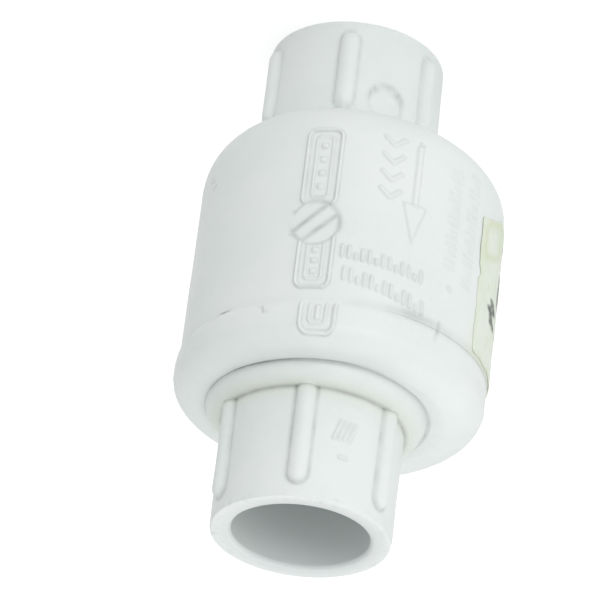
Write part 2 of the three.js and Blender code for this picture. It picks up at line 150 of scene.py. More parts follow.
def refined(path, step):
    """The closed path with extra points, so that no piece of it is longer than step(z, skin)."""
    out = []
    for a, b in zip(path, np.roll(path, -1, axis=0)):
        middle = (a + b) / 2
        length = np.hypot(b[0] - a[0], b[1] - a[1])
        count = max(1, math.ceil(length / step(middle[1], middle[3])))
        out += [a + (b - a) * k / count for k in range(count)]
    return np.array(out)


def graded(start, stop, coarse, zones):
    """Positions from start to stop, coarse apart, or closer inside a zone (from, to, step)."""
    marks = sorted({start, stop, *[m for a, b, _ in zones for m in (a, b) if start < m < stop]})
    out = [start]
    for a, b in zip(marks[:-1], marks[1:]):
        step = min([coarse] + [s for low, high, s in zones if low <= (a + b) / 2 <= high])
        count = max(1, math.ceil((b - a) / step - 1e-6))
        out += [a + (b - a) * k / count for k in range(1, count + 1)]
    return np.array(out)


def grid_faces(rows, columns, wrap_rows, wrap_columns):
    """Four-sided faces of a grid of points, closed on itself along the wrapped directions."""
    index = np.arange(rows * columns).reshape(rows, columns)
    right = np.roll(index, -1, axis=1)
    below = np.roll(index, -1, axis=0)
    corner = np.roll(below, -1, axis=1)
    quads = np.stack([index, right, corner, below], axis=-1)
    if not wrap_rows:
        quads = quads[:-1]
    if not wrap_columns:
        quads = quads[:, :-1]
    return quads.reshape(-1, 4).tolist()


def finished(name, places, faces, marks=None):
    """A smooth-shaded object with outward faces. marks maps a value's name to its points' values."""
    mesh = bpy.data.meshes.new(name)
    mesh.from_pydata((np.asarray(places).reshape(-1, 3) * MM).tolist(), [], faces)
    mesh.polygons.foreach_set("use_smooth", np.ones(len(mesh.polygons), bool))
    if signed_volume(mesh) < 0:
        mesh.flip_normals()
    for mark, values in (marks or {}).items():
        data = mesh.attributes.new(mark, "FLOAT", "POINT").data
        data.foreach_set("value", np.asarray(values, np.float32).reshape(-1))
    mesh.update()
    obj = bpy.data.objects.new(name, mesh)
    bpy.context.scene.collection.objects.link(obj)
    return obj


def signed_volume(mesh):
    """Volume of a closed mesh, negative where its faces point inwards."""
    mesh.calc_loop_triangles()
    co = np.empty(len(mesh.vertices) * 3)
    mesh.vertices.foreach_get("co", co)
    tri = np.empty(len(mesh.loop_triangles) * 3, int)
    mesh.loop_triangles.foreach_get("vertices", tri)
    a, b, c = co.reshape(-1, 3)[tri.reshape(-1, 3)].transpose(1, 0, 2)
    return float(np.einsum("ij,ij->i", a, np.cross(b, c)).sum() / 6)


def skin_mesh(name, path, angles, surface):
    """A closed turned mesh. surface(angle, z, r) gives a new radius, a height and the marks."""
    theta = np.radians(angles)[None, :]
    r, z, x, skin = (path[:, k][:, None] + 0 * theta for k in range(4))
    ahead = np.roll(path, -1, axis=0) - np.roll(path, 1, axis=0)
    size = np.hypot(ahead[:, 0], ahead[:, 1])
    normal_r = (ahead[:, 1] / size)[:, None]
    normal_z = (-ahead[:, 0] / size)[:, None]
    radius, height, marks = surface(np.degrees(theta) + 0 * r, z, r)
    outside = skin > 0.5
    r = np.where(outside, radius + height * normal_r, r)
    z = np.clip(np.where(outside, z + height * normal_z, z), 0, LENGTH)
    marks = {mark: np.where(outside, value, 0) for mark, value in marks.items()}
    # the inside is painted darker, as shade, and less so on the side away from the hinge, which the
    # light reaches
    marks["bore_shade"] = (1 - skin) * (1 - 0.5 * smooth(-1.6 * np.sin(theta) - 0.6))
    places = np.stack([x - r * np.sin(theta), -r * np.cos(theta), z], axis=-1)
    return finished(name, places, grid_faces(*r.shape, True, True), marks)


# ---- height shapes on the skin --------------------------------------------------------------

def smooth(value):
    """An eased step, 0 for values below 0 and 1 for values above 1."""
    t = np.clip(value, 0, 1)
    return t * t * (3 - 2 * t)


def crease(distance, width):
    """A soft line: 1 where the distance is 0, fading out within about twice the width."""
    return np.exp(-(distance / width) ** 2)


def box_distance(u, z, half_w, half_h, corner):
    """Distance to a box with rounded corners round the origin, negative inside it."""
    du = np.abs(u) - half_w + corner
    dz = np.abs(z) - half_h + corner
    outside = np.hypot(np.maximum(du, 0), np.maximum(dz, 0))
    return outside + np.minimum(np.maximum(du, dz), 0) - corner


def line_distance(u, z, start, end):
    """Distance to a straight line between two points."""
    (u0, z0), (u1, z1) = start, end
    t = ((u - u0) * (u1 - u0) + (z - z0) * (z1 - z0)) / ((u1 - u0) ** 2 + (z1 - z0) ** 2)
    t = np.clip(t, 0, 1)
    return np.hypot(u - u0 - t * (u1 - u0), z - z0 - t * (z1 - z0))


def soft_max(a, b, ease):
    """The larger value, with a small fillet where the two are nearly equal."""
    blend = np.maximum(ease - np.abs(a - b), 0) / ease
    return np.maximum(a, b) + blend * blend * ease / 4


def ripple(angle, z, seed):
    """A gentle unevenness of moulded plastic, between about -1 and 1, the same on each run."""
    random = np.random.RandomState(seed)
    total = 0 * angle
    for _ in range(9):
        turns = random.randint(0, 7)
        length = random.uniform(9, 40)
        phase = random.uniform(0, 2 * np.pi, 2)
        around = np.sin(np.radians(angle) * turns + phase[0])
        total = total + around * np.sin(2 * np.pi * z / length + phase[1])
    return total / 3


RELIEF = 0.44
BEVEL = 0.24
FRAME_CORNER = 1.3
FRAME_LINE = 0.42
FRAME_GAP = 1.35


class Relief:
    """Raised and sunk shapes on the skin, in mm along it, with painted shade round them and dirt of
    wear.
    """

    def __init__(self, angle, z):
        self.angle = angle
        self.z = z
        self.height = 0 * z
        self.shade_and_dirt = 0 * z

    def at(self, degrees, z):
        """Places along and up the skin, measured from a point on it."""
        return np.radians(self.angle - degrees) * BARREL_R, self.z - z

    def raise_shape(self, distance, height=RELIEF, bevel=BEVEL):
        """Full height inside the shape, with a bevel centred on its outline and painted shade at its
        foot.
        """
        self.height = np.maximum(self.height, height * smooth(0.5 - distance / bevel))
        # painted shade in the corner round the foot of the raised shape
        self.shade_and_dirt = np.maximum(self.shade_and_dirt, crease(distance - bevel / 2, 0.14) * height / RELIEF)

    def sink_shape(self, distance, depth=RELIEF, bevel=BEVEL):
        """Sinks the inside of a shape, with painted shade along its outline."""
        self.height = self.height - depth * smooth(0.5 - distance / bevel)
        self.shade_and_dirt = np.maximum(self.shade_and_dirt, crease(distance, 0.22) * depth / RELIEF)

    def darken(self, shade_and_dirt):
        """Adds painted shade, and the dirt of wear marks, where there is less darkening already."""
        self.shade_and_dirt = np.maximum(self.shade_and_dirt, shade_and_dirt)

    def bar(self, degrees, z, half_w, half_h, height=RELIEF):
        """Raises a plain bar with rounded corners."""
        self.raise_shape(box_distance(*self.at(degrees, z), half_w, half_h, 0.18), height)

    def double_frame(self, degrees, z, half_w, half_h, keep=True):
        """Two raised outlines, one inside the other, where keep holds."""
        u, v = self.at(degrees, z)
        away = 9.0
        outer = np.abs(box_distance(u, v, half_w, half_h, FRAME_CORNER)) - FRAME_LINE / 2
        inner_box = box_distance(u, v, half_w - FRAME_GAP, half_h - FRAME_GAP, FRAME_CORNER / 2)
        inner = np.abs(inner_box) - FRAME_LINE / 3
        self.raise_shape(np.where(keep, outer, away))
        self.raise_shape(np.where(keep, inner, away), 0.6 * RELIEF)

    def plain_bars(self, degrees, z, pitch, slope, count, half_h, height=0.32):
        """A row of upright bars, each third one short, in place of words."""
        for k in range(count):
            short = 0.5 * (k % 3 == 2)
            here = degrees + pitch * k
            rise = z + slope * k + short * half_h
            self.bar(here, rise, 0.2, half_h * (1 - short), height)


PANEL_HALF_W = 2.65
PANEL_LOW_HALF_H = 6.8
PANEL_HIGH_HALF_H = 5.5
PANEL_CAP_HALF_H = 4.5
DOT_HALF_W = 0.45
DOT_PROUD = 0.3
INSERT_DEG = -14.2
INSERT_Z = 43.3
INSERT_R = 3.85
INSERT_DEPTH = 0.55
INSERT_BAR = 0.6
ARROW_DEG = 22.0
ARROW_Z = 37.6
ARROW_PROUD = 0.3
HEAD_HALF_W = 1.9
HEAD_LENGTH = 6.3
CHEVRON_DEG = 12.0
CHEVRON_Z = 27.2
CHEVRON_PITCH = 3.1
FAINT = 0.17


def panels(marks):
    """Three framed panels with plain dots or a bar where a maker would put words."""
    marks.double_frame(-13.8, 33.3, PANEL_HALF_W, PANEL_LOW_HALF_H)
    for k in range(4):
        marks.bar(-13.8, 29.5 + 2.45 * k, DOT_HALF_W, 0.36, DOT_PROUD)
    marks.double_frame(-12.8, 49.2, PANEL_HALF_W - 0.05, PANEL_HIGH_HALF_H)
    for k in range(3):
        marks.bar(-12.8, 48.2 + 1.9 * k, DOT_HALF_W, 0.34, DOT_PROUD)
    on_cap = marks.z > JOINT_Z + 0.5
    marks.double_frame(-8.3, 57.9, PANEL_HALF_W - 0.05, PANEL_CAP_HALF_H, on_cap)
    marks.bar(-8.3, 59.3, 0.3, 1.2, DOT_PROUD)


def mould_insert(marks):
    """A sunk round mark that clears the panels under it, with a plain bar across."""
    u, v = marks.at(INSERT_DEG, INSERT_Z)
    from_rim = np.hypot(u, v) - INSERT_R
    inside = smooth(-from_rim / BEVEL)
    marks.height = marks.height * (1 - inside)
    marks.shade_and_dirt = marks.shade_and_dirt * (1 - inside)
    marks.sink_shape(from_rim, INSERT_DEPTH, 0.34)
    across = np.maximum(np.abs(u * 0.68 + v * 0.73) - 1.0, from_rim + 0.2)
    marks.height = marks.height + INSERT_BAR * smooth(0.5 - across / 0.4)
    # painted shade in the recess along the sides of the bar
    marks.darken(1.6 * crease(across - 0.2, 0.42) * inside)
    # painted shade on the rim of the recess on its inlet and hinge sides, which face away from the
    # light
    upper = smooth((u - v - 0.6) / 3)
    marks.darken(1.5 * upper * crease(from_rim, 0.45))


def flow_marks(marks):
    """Four chevrons and the outline of an arrow, pointing to the outlet."""
    for k in range(4):
        u, v = marks.at(CHEVRON_DEG, CHEVRON_Z + CHEVRON_PITCH * k)
        arms = np.minimum(
            line_distance(u, v, (-1.6, -0.6), (0, 0.8)),
            line_distance(u, v, (1.6, -0.6), (0, 0.8)),
        )
        marks.raise_shape(arms - 0.24, 0.26)
    u, v = marks.at(ARROW_DEG, ARROW_Z)
    slope = np.hypot(HEAD_HALF_W, HEAD_LENGTH)
    side = (np.abs(u) * HEAD_LENGTH + (v - HEAD_LENGTH) * HEAD_HALF_W) / slope
    marks.raise_shape(box_distance(u, v + 5.2, 0.4, 5.4, 0.1), ARROW_PROUD)
    marks.raise_shape(np.maximum(side, -v), 0.24)
    marks.raise_shape(np.hypot(u - 0.25, v + 11.1) - 0.32, ARROW_PROUD)


def bar_rows(marks):
    """Two sloping rows of plain bars, two faint columns, and a small sunk dot."""
    marks.plain_bars(-3.0, 48.0, 2.55, 0.12, 13, 1.05)
    marks.plain_bars(-1.4, 51.9, 2.55, 0.23, 13, 1.15)
    for k in range(14):
        short = k % 3 == 2
        marks.bar(39.6 + 0.9 * short, 28.6 + 1.3 * k, 1.1 - 0.5 * short, 0.2, FAINT)
    for k in range(16):
        short = k % 3 == 1
        marks.bar(49.5 + 0.9 * short, 27.4 + 1.3 * k, 1.2 - 0.55 * short, 0.2, FAINT)
    u, v = marks.at(41, 49.1)
    marks.sink_shape(np.hypot(u, v) - 0.45, 0.2)


def wear_marks(marks):
    """Parting lines of the mould, a scratch, three scuffs on the shoulder and a speck."""
    for side in (-90, 90):
        u, v = marks.at(side, 0)
        marks.height = marks.height + 0.09 * crease(u, 0.2)
    u, v = marks.at(-51, 57.2)
    scratch = line_distance(u, v, (-2.4, 0.5), (2.3, -0.35))
    marks.height = marks.height - 0.06 * crease(scratch, 0.2)
    marks.darken(0.5 * crease(scratch, 0.25))
    for k in range(3):
        u, v = marks.at(-71 + 2.2 * k, 29.0 + 1.1 * k)
        scuff = line_distance(u, v, (-0.5, 0.3 - 0.5 * (k % 2)), (0.5, -0.2))
        marks.darken(1.3 * crease(scuff, 0.22))
    u, v = marks.at(-29, 58.3)
    speck = line_distance(u, v, (-0.25, -0.6), (0.2, 0.6))
    marks.darken(1.2 * crease(speck, 0.2) * smooth((v + 1.4) / 1.4))


def barrel_relief(angle, z):
    """All the marks on the barrel and the collar."""
    marks = Relief(angle, z)
    panels(marks)
    mould_insert(marks)
    flow_marks(marks)
    bar_rows(marks)
    wear_marks(marks)
    return marks


def past_rib(low_z, high_z, z):
    """How far a height is past the straight part of the ribs, towards their round ends."""
    return np.maximum(np.maximum(low_z + RIB_R - z, z - high_z + RIB_R), 0)


def from_rib(angle, middle):
    """Turn in radians from a rib's middle, between -pi and pi."""
    return np.radians((angle - middle + 180) % 360 - 180)


def rib_radius(angle, low_z, high_z, z):
    """Radius of the half-round ribs of a hub, and 0 away from them."""
    best = 0 * angle
    size = np.sqrt(np.maximum(RIB_R ** 2 - past_rib(low_z, high_z, z) ** 2, 0))
    for middle in RIB_ANGLES:
        turn = from_rib(angle, middle)
        side = RIB_CENTRE_R * np.sin(turn)
        inside = (np.abs(side) < size) & (np.cos(turn) > 0)
        reach = RIB_CENTRE_R * np.cos(turn) + np.sqrt(np.maximum(size ** 2 - side ** 2, 0))
        best = np.where(inside, np.maximum(best, reach), best)
    return best


def rib_foot(angle, low_z, high_z, z):
    """Painted shade along the foot of the ribs, from 0 to 1."""
    past = past_rib(low_z, high_z, z)
    shade_and_dirt = 0 * angle
    for middle in RIB_ANGLES:
        away = np.hypot(HUB_R * from_rib(angle, middle), past) - RIB_R
        shade_and_dirt = np.maximum(shade_and_dirt, crease(away - 0.1, 0.3))
    return shade_and_dirt


def joint_groove(angle, z):
    """Depth and darkening of the groove where the cap meets the body, and of the notch across it.

    The groove is filled on one side of the valve; where it is open, a dark line runs in the joint,
    with a wider band of painted shade on the body side. The notch lines the cap up with the body,
    with painted shade round it, and dirt is packed in the groove beside it.
    """
    open_part = 0.15 + 0.85 * smooth((np.abs(angle - 60) - 72) / -40)
    u = np.radians(angle - NOTCH_DEG) * BARREL_R
    notch = box_distance(u, z - NOTCH_Z, 0.16, 1.75, 0.1)
    above = z - JOINT_Z
    depth = 0.07 * open_part * crease(above, 0.7) + 0.26 * smooth(0.5 - notch / BEVEL)
    # a dark line in the joint and a wider band of painted shade on the body side of it
    shade_and_dirt = open_part * (0.1 * crease(above, 0.5) + 0.26 * crease(above + 0.4, 0.9))
    packed = crease(angle - 27, 8) * crease(above + 0.8, 0.6)
    return depth, shade_and_dirt + 0.4 * packed + 0.5 * crease(notch, 0.22) * crease(z - 56.6, 1.4)


def rim_wear(z):
    """Where the hub rims are scuffed, from 0 to 1."""
    return crease(z, 1.0) + crease(z - LENGTH, 1.0)


def on_hub_wall(r):
    return r < HUB_ROOT_R + 0.1


def body_surface(angle, z, r):
    """Radius, height, painted shade and dirt of the body: inlet hub, dome and barrel."""
    rib_low, rib_high = RIB_TIP_GAP, DOME_Z0 - RIB_ROOT_GAP
    ribs = rib_radius(angle, rib_low, rib_high, z)
    relief = barrel_relief(angle, z)
    on_barrel = smooth((z - DOME_Z0 - 1) / 3)
    groove_depth, groove_shade_and_dirt = joint_groove(angle, z)
    radius = soft_max(r, ribs, RIB_FILLET) + 0.03 * ripple(angle, z, 3) - groove_depth
    on_hub = z < DOME_Z0 - 0.6
    gate = np.hypot(np.radians(angle - GATE_DEG) * HUB_R, z - GATE_Z) - GATE_R
    gate_top = smooth((GATE_Z + 0.5 - z) / 2.5)
    height = relief.height * on_barrel
    height = height - GATE_DEPTH * smooth(0.5 - gate / BEVEL) * on_hub
    # painted shade round the marks and beside the joint, and dirt of wear marks and in the joint
    grime = relief.shade_and_dirt * 0.55 * on_barrel + groove_shade_and_dirt
    # painted shade in the crease at the root of the inlet hub
    grime = grime + 0.4 * crease(z - DOME_Z0 + 0.25, 0.45)
    # painted shade round the sunk gate mark, darker on its inlet side
    grime = grime + (0.15 + 0.5 * gate_top) * crease(gate, 0.45) * on_hub
    # painted shade at the foot of the ribs
    grime = grime + 0.35 * rib_foot(angle, rib_low, rib_high, z) * on_hub_wall(r)
    beside_label = smooth((angle - 50) / 12) * smooth((120 - angle) / 12)
    stain = 0.7 * beside_label * crease(z - 56, 4.5)
    return radius, height, {"grime": grime, "stain": stain, "wear": rim_wear(z)}


def hub_strokes(angle, z):
    """Distance to four slanting strokes and a dash on the outlet hub."""
    u = np.radians(angle - STROKES_DEG) * HUB_R
    v = z - LENGTH + STROKES_BELOW
    strokes = box_distance(u, v - 4.4, 0.7, 0.25, 0.2)
    for k in range(4):
        near = 0.85 * k - 1.4
        stroke = line_distance(u, v, (near - 0.4, 1.4), (near + 0.5, -1.5))
        strokes = np.minimum(strokes, stroke - 0.18)
    return strokes


def ring_shade_and_dirt(angle, z, r):
    """Grey dirt and painted shade in the crease round the shoulder ring, the shade darker on the
    side away from the hinge, with a painted shadow in the valley on that side.
    """
    open_side = smooth((30 - angle) / 70) * smooth((angle + 200) / 60)
    away = np.hypot(r - RING_R - 0.2, z - RING_LOW_Z)
    # grey dirt and painted shade in the crease, the shade stronger on the side away from the hinge
    line = (0.35 + 0.75 * open_side) * crease(away, 0.55 + 0.35 * open_side)
    # painted shadow in the valley outside the ring, on the side away from the hinge
    far_side = smooth((-20 - angle) / 40) * smooth((angle + 170) / 40)
    valley = crease(np.hypot(r - RING_R - 1.0, z - VALLEY_Z - 0.3), 1.2)
    return line + 0.55 * far_side * valley


def cap_surface(angle, z, r):
    """Radius, height, painted shade and dirt of the cap: collar, end face, shoulder ring and outlet
    hub.
    """
    ribs = rib_radius(angle, RING_TOP_Z - 2 * RIB_R, LENGTH - RIB_TIP_GAP, z)
    relief = barrel_relief(angle, z)
    on_collar = smooth((CAP_FACE_Z - 0.6 - z) / 1.0)
    groove_depth, groove_shade_and_dirt = joint_groove(angle, z)
    lowered = 0.11 * smooth((angle - 4) / 30) * smooth((CAP_FACE_Z - z) / 6) * on_collar
    radius = soft_max(r, ribs, RIB_FILLET) + 0.03 * ripple(angle, z, 5) - lowered - groove_depth
    # the valley round the ring is shallow on the hinge side
    shallow = smooth(np.sin(np.radians(angle)) / 0.8)
    in_valley = crease(r - VALLEY_R - 0.5, 0.8) * crease(z - VALLEY_Z, 0.9)
    strokes = hub_strokes(angle, z)
    height = relief.height * on_collar + 0.75 * shallow * in_valley
    height = height + STROKES_PROUD * smooth(0.5 - strokes / BEVEL)
    # painted shade round the marks, beside the joint and round the shoulder ring, with dirt in the
    # joint and crease
    grime = relief.shade_and_dirt * 0.55 * on_collar + groove_shade_and_dirt + ring_shade_and_dirt(angle, z, r)
    # painted shade in the crease at the root of the outlet hub
    grime = grime + 0.9 * crease(np.hypot(r - HUB_ROOT_R, z - RING_TOP_Z), 0.45)
    # painted shade along the foot of the raised strokes
    grime = grime + 0.3 * crease(strokes - 0.1, 0.15)
    # painted shade at the foot of the ribs
    grime = grime + 0.6 * rib_foot(angle, 0, LENGTH - RIB_TIP_GAP, z) * on_hub_wall(r)
    # yellow-green painted shade on the ring round the root of the outlet hub
    stain = 0.4 * crease(np.hypot(r - HUB_ROOT_R - 0.8, z - RING_TOP_Z), 1.5)
    return radius, height, {"grime": grime, "stain": stain, "wear": rim_wear(z)}


# ---- housing --------------------------------------------------------------------------------

# columns of the skin, closest together where the marks are
SKIN_ANGLES = graded(-180, 180, 2.5, [
    (-58, -44, 0.9),
    (-29.8, -28.2, 0.4),
    (-22, -4, 0.32),
    (-4, 30, 0.48),
    (30, 56, 0.8),
    (-91, -89, 0.3),
    (89, 91, 0.3),
    *[(middle - 8, middle + 8, 0.95) for middle in RIB_ANGLES],
])[:-1]


INSIDE_STEP = 2.5
MARKED_STEP = 0.25
HUB_STEP = 0.3
PLAIN_STEP = 0.9


def skin_step(z, skin):
    """Longest step along the profile at this height, finest where the skin has marks."""
    if skin < 0.5:
        return INSIDE_STEP
    if 25.6 < z < 63.6 or z < 4.8 or z > LENGTH - 4.8 or 13.6 < z < 18.5:
        return MARKED_STEP
    if 10.5 < z < 13.6 or z > LENGTH - 14.5:
        return HUB_STEP
    return PLAIN_STEP


def quarter(low_r, high_r, low_z, high_z, x, steps, power=1.0):
    """A quarter of an oval, from (high_r, low_z) to (low_r, high_z)."""
    out = []
    for k in range(steps + 1):
        t = k / steps * math.pi / 2
        out.append((
            low_r + (high_r - low_r) * math.cos(t) ** power,
            low_z + (high_z - low_z) * math.sin(t),
            x,
            0,
            1,
        ))
    return out


def body_path():
    """Profile of the body: skin up from the inlet mouth, then chamber, port and socket."""
    dome = []
    for k in range(1, 15):
        t = k / 15 * math.pi / 2
        width = math.sin(t) ** DOME_POWER
        dome.append((
            HUB_ROOT_R + (BARREL_R - HUB_ROOT_R) * width,
            DOME_Z1 - (DOME_Z1 - DOME_Z0) * math.cos(t),
            PIPE_X + (BARREL_X - PIPE_X) * width,
            0,
            1,
        ))
    return refined(eased([
        (SOCKET_MOUTH_R + MOUTH_BEVEL, 0, PIPE_X, 0.3, 0),
        (HUB_R, 0, PIPE_X, RIM_EASE, 1),
        (HUB_ROOT_R, DOME_Z0, PIPE_X, 0.45, 1),
        *dome,
        (BARREL_R - 0.03, DOME_Z1, BARREL_X, 0, 1),
        (BARREL_R, JOINT_Z, BARREL_X, JOINT_EASE, 1),
        (CHAMBER_R, JOINT_Z, BARREL_X, 0.4, 0),
        (CHAMBER_R, FLOOR_CORNER_Z, BARREL_X, 1.0, 0),
        (FLOOR_R, FLOOR_Z, BARREL_X, 0.8, 0),
        (PORT_R, FLOOR_Z, PIPE_X, 0.3, 0),
        (PORT_R, STOP_DEPTH, PIPE_X, 0.3, 0),
        (SOCKET_END_R, STOP_DEPTH, PIPE_X, 0.3, 0),
        (SOCKET_MOUTH_R, MOUTH_BEVEL, PIPE_X, 0.25, 0),
    ]), skin_step)


def cap_path():
    """Profile of the cap: skin up from the joint, then socket, port and spigot."""
    blend = []
    for k in range(1, 8):
        t = smooth(k / 8)
        blend.append((
            BARREL_R + (COLLAR_R - BARREL_R) * t,
            JOINT_Z + (COLLAR_BLEND_Z - JOINT_Z) * k / 8,
            BARREL_X + (COLLAR_X - BARREL_X) * t,
            0,
            1,
        ))
    return refined(eased([
        (SPIGOT_R, JOINT_Z, COLLAR_X, 0, 0),
        (BARREL_R, JOINT_Z, BARREL_X, JOINT_EASE, 1),
        *blend,
        (COLLAR_R, COLLAR_BLEND_Z, COLLAR_X, 0, 1),
        *quarter(CAP_FACE_R, COLLAR_R, COLLAR_TOP_Z, CAP_FACE_Z, COLLAR_X, 12),
        (CAP_FACE_R - 0.5, CAP_FACE_Z - 0.1, COLLAR_X + 0.2, 0, 1),
        (VALLEY_R + 0.35, VALLEY_Z + 0.12, PIPE_X - 0.7, 0, 1),
        (VALLEY_R, VALLEY_Z, PIPE_X - 0.2, 0, 1),
        *quarter(HUB_ROOT_R, RING_R, RING_LOW_Z, RING_TOP_Z, PIPE_X, 12),
        (HUB_R, LENGTH, PIPE_X, RIM_EASE, 1),
        (SOCKET_MOUTH_R + MOUTH_BEVEL, LENGTH, PIPE_X, 0.3, 0),
        (SOCKET_MOUTH_R, LENGTH - MOUTH_BEVEL, PIPE_X, 0.25, 0),
        (SOCKET_END_R, LENGTH - STOP_DEPTH, PIPE_X, 0.3, 0),
        (PORT_R, LENGTH - STOP_DEPTH, PIPE_X, 0.3, 0),
        (PORT_R, CAP_INSIDE_Z, PIPE_X, 0.3, 0),
        (SPIGOT_BORE_R, CAP_INSIDE_Z, COLLAR_X, 1.0, 0),
        (SPIGOT_BORE_R, SPIGOT_Z, COLLAR_X, 0.3, 0),
        (SPIGOT_R, SPIGOT_Z, COLLAR_X, 0.5, 0),
    ]), skin_step)


# ---- materials ------------------------------------------------------------------------------

class Nodes:
    """A short way to write a material's nodes. Inputs are numbers, colours or other sockets."""

    def __init__(self, name):
        self.material = bpy.data.materials.new(name)
        self.material.use_nodes = True
        self.tree = self.material.node_tree
        self.shader = self.tree.nodes["Principled BSDF"]
        self.place = self.add("ShaderNodeTexCoord").outputs["Object"]

    def add(self, kind, inputs=None, **settings):
        node = self.tree.nodes.new(kind)
        for key, value in settings.items():
            setattr(node, key, value)
        for key, value in (inputs or {}).items():
            self.set(node.inputs[key], value)
        return node

    def set(self, socket, value):
        if isinstance(value, bpy.types.NodeSocket):
            self.tree.links.new(value, socket)
        else:
            socket.default_value = value

    def noise(self, per_mm, detail=4.0, rough=0.55, stretch=(1, 1, 1), seed=0.0):
        """Noise with about per_mm lumps to a millimetre."""
        scaled = self.add("ShaderNodeMapping", {
            "Vector": self.place,
            "Location": (seed, seed, seed),
            "Scale": tuple(per_mm / MM * s for s in stretch),
        })
        return self.add("ShaderNodeTexNoise", {
            "Vector": scaled.outputs[0],
            "Scale": 1.0,
            "Detail": detail,
            "Roughness": rough,
        }).outputs[0]

    def ramp(self, value, low, high, out_low=0.0, out_high=1.0):
        """An eased step of a value from low to high."""
        return self.add("ShaderNodeMapRange", {
            "Value": value,
            "From Min": low,
            "From Max": high,
            "To Min": out_low,
            "To Max": out_high,
        }, interpolation_type="SMOOTHSTEP").outputs[0]

    def math(self, operation, a, b=0.0):
        return self.add("ShaderNodeMath", {0: a, 1: b}, operation=operation).outputs[0]

    def times(self, a, b):
        return self.math("MULTIPLY", a, b)

    def mix(self, factor, a, b):
        """Colour a turning into colour b as the factor goes from 0 to 1."""
        return self.add("ShaderNodeMix", {0: factor, 6: a, 7: b}, data_type="RGBA").outputs[2]

    def attribute(self, name):
        return self.add("ShaderNodeAttribute", attribute_name=name).outputs["Fac"]

    def bump(self, height, distance_mm, strength=1.0, below=None):
        node = self.add("ShaderNodeBump", {
            "Height": height,
            "Distance": distance_mm * MM,
            "Strength": strength,
        })
        if below is not None:
            self.set(node.inputs["Normal"], below)
        return node.outputs[0]

    def surface(self, **inputs):
        """Sets the shader's inputs, with spaces in their names written as underlines."""
        for key, value in inputs.items():
            self.set(self.shader.inputs[key.replace("_", " ")], value)
        return self.material


def rgb(r, g, b):
    return (r, g, b, 1.0)


# grey of the painted shade in creases, and of dirt
SHADE_AND_DIRT = rgb(0.25, 0.26, 0.24)
INK = rgb(0.13, 0.14, 0.13)


def white_pvc():
    """Satin white PVC: faint mottling, yellow stain, painted shade, grey dirt, scuffed rims, specks.
    """
    n = Nodes("white_pvc")
    patches = n.ramp(n.noise(0.06, 4), 0.35, 0.65)
    tone = n.mix(patches, rgb(0.735, 0.79, 0.772), rgb(0.78, 0.82, 0.805))
    mottle = n.ramp(n.noise(0.8, 3, seed=2.0), 0.45, 0.62)
    tone = n.mix(n.times(mottle, 0.25), tone, rgb(0.80, 0.825, 0.81))
    # painted shade inside the bore
    tone = n.mix(n.times(n.attribute("bore_shade"), 0.75), tone, rgb(0.62, 0.66, 0.655))
    # yellow stain beside the label, and yellow-green painted shade round the outlet hub's root
    tone = n.mix(n.attribute("stain"), tone, rgb(0.72, 0.755, 0.63))
    # painted grey shade in creases and round marks, with grey dirt, made uneven by noise
    uneven = n.times(n.ramp(n.noise(0.35, 4, seed=7.0), 0.25, 0.7, 0.45, 1.0), 0.62)
    tone = n.mix(n.times(n.attribute("grime"), uneven), tone, SHADE_AND_DIRT)
    worn = n.times(n.attribute("wear"), n.ramp(n.noise(0.7, 4, seed=5.0), 0.52, 0.68))
    tone = n.mix(n.times(worn, 0.22), tone, rgb(0.5, 0.51, 0.49))
    speck = n.ramp(n.noise(0.9, 3, seed=4.0), 0.76, 0.8)
    tone = n.mix(n.times(speck, 0.2), tone, rgb(0.4, 0.4, 0.37))
    hairline = n.ramp(n.noise(0.16, 2, stretch=(6, 6, 0.35), seed=9.0), 0.70, 0.74)
    grain = n.bump(n.noise(2.6, 3), 0.016, 0.5)
    waves = n.bump(n.noise(0.25, 2), 0.05, 0.4, grain)
    scuff = n.bump(n.times(n.attribute("wear"), n.noise(0.7, 3)), 0.06, 0.4, waves)
    scratched = n.bump(hairline, -0.01, 0.5, scuff)
    return n.surface(
        Base_Color=tone,
        Roughness=n.ramp(n.noise(0.4, 4), 0.3, 0.7, 0.36, 0.5),
        Specular_IOR_Level=0.42,
        Normal=scratched,
    )


def label_paper():
    """An aged, yellowed paper sticker: fibres, a darker edge, stains and worn grey print."""
    n = Nodes("label_paper")
    patches = n.ramp(n.noise(0.12, 4), 0.35, 0.65)
    tone = n.mix(patches, rgb(0.70, 0.765, 0.65), rgb(0.755, 0.80, 0.72))
    blotch = n.ramp(n.noise(0.22, 5, seed=3.0), 0.56, 0.68)
    tone = n.mix(n.times(blotch, 0.5), tone, rgb(0.66, 0.68, 0.49))
    faded = n.ramp(n.noise(0.5, 3, stretch=(1, 1, 0.12), seed=12.0), 0.5, 0.66)
    tone = n.mix(n.times(faded, 0.55), tone, rgb(0.80, 0.83, 0.79))
    fibre = n.ramp(n.noise(1.1, 3, stretch=(1, 1, 0.15), seed=1.0), 0.55, 0.75)
    tone = n.mix(n.times(fibre, 0.12), tone, rgb(0.6, 0.62, 0.5))
    tone = n.mix(n.times(n.attribute("edge"), 0.5), tone, rgb(0.62, 0.66, 0.42))
    unworn = n.ramp(n.noise(0.45, 3, seed=6.0), 0.32, 0.52)
    tone = n.mix(n.times(n.attribute("ink"), unworn), tone, INK)
    paper = n.bump(n.noise(1.8, 4, stretch=(1, 1, 0.4)), 0.03, 0.6)
    creases = n.bump(n.noise(0.3, 3, seed=8.0), 0.15, 0.4, paper)
    return n.surface(
        Base_Color=tone,
        Roughness=n.ramp(n.noise(0.7, 3), 0.3, 0.7, 0.45, 0.66),
        Specular_IOR_Level=0.35,
        Normal=creases,
    )


